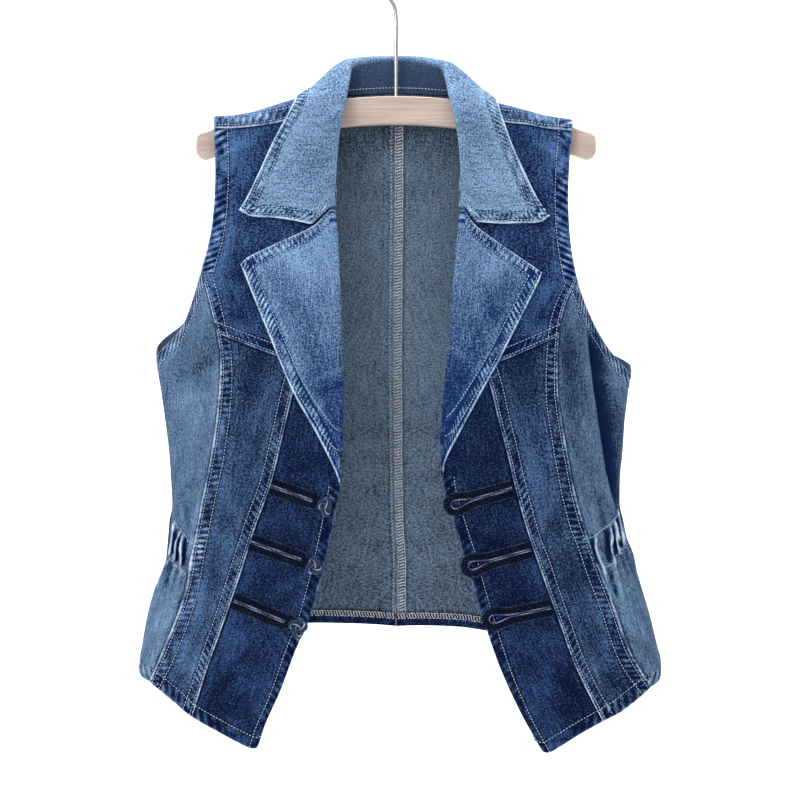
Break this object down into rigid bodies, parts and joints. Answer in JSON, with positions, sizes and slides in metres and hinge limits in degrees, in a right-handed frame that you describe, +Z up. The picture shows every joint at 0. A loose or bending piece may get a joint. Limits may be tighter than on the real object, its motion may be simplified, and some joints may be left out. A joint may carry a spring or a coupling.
{
  "type": "denim vest on a wooden hanger",
  "caption": "Cropped sleeveless denim vest with notched collar, lapels, panelled fronts, gathered waist and rouleau knots and loops, open on a flat wooden hanger with a wire hook.",
  "frame": {"origin": "the hanging point, inside the top of the hook, where a rail carries the hanger", "axes": "+Z up, the vest's front faces -Y, +X to the right of a viewer in front"},
  "size_m": [0.5306, 0.0855, 0.8087],
  "materials": {
    "denim_washed": "washed denim twill",
    "denim_mid": "denim twill",
    "denim_dark": "dark denim twill",
    "hanger_wood": "pale satin wood",
    "hook_metal": "satin wire"
  },
  "bodies": {
    "root": {"front_upper_left": "denim_mid", "front_side_left": "denim_washed", "front_middle_left": "denim_mid", "front_centre_left": "denim_dark", "lapel_left": "denim_washed", "front_upper_right": "denim_mid", "front_side_right": "denim_washed", "front_middle_right": "denim_mid", "front_centre_right": "denim_dark", "lapel_right": "denim_washed", "back_left": "denim_mid", "back_right": "denim_mid", "back_hem_left": "denim_dark", "back_hem_right": "denim_dark", "back_seam": "denim_mid", "collar": "denim_washed", "knot_tape_1": "denim_dark", "knot_tape_2": "denim_dark", "knot_tape_3": "denim_dark", "loop_tape_1": "denim_dark", "loop_tape_2": "denim_dark", "loop_tape_3": "denim_dark", "knot_1": "denim_dark", "knot_2": "denim_dark", "knot_3": "denim_dark", "hanger_bar": "hanger_wood", "hanger_hook": "hook_metal"}
  },
  "joints": []
}
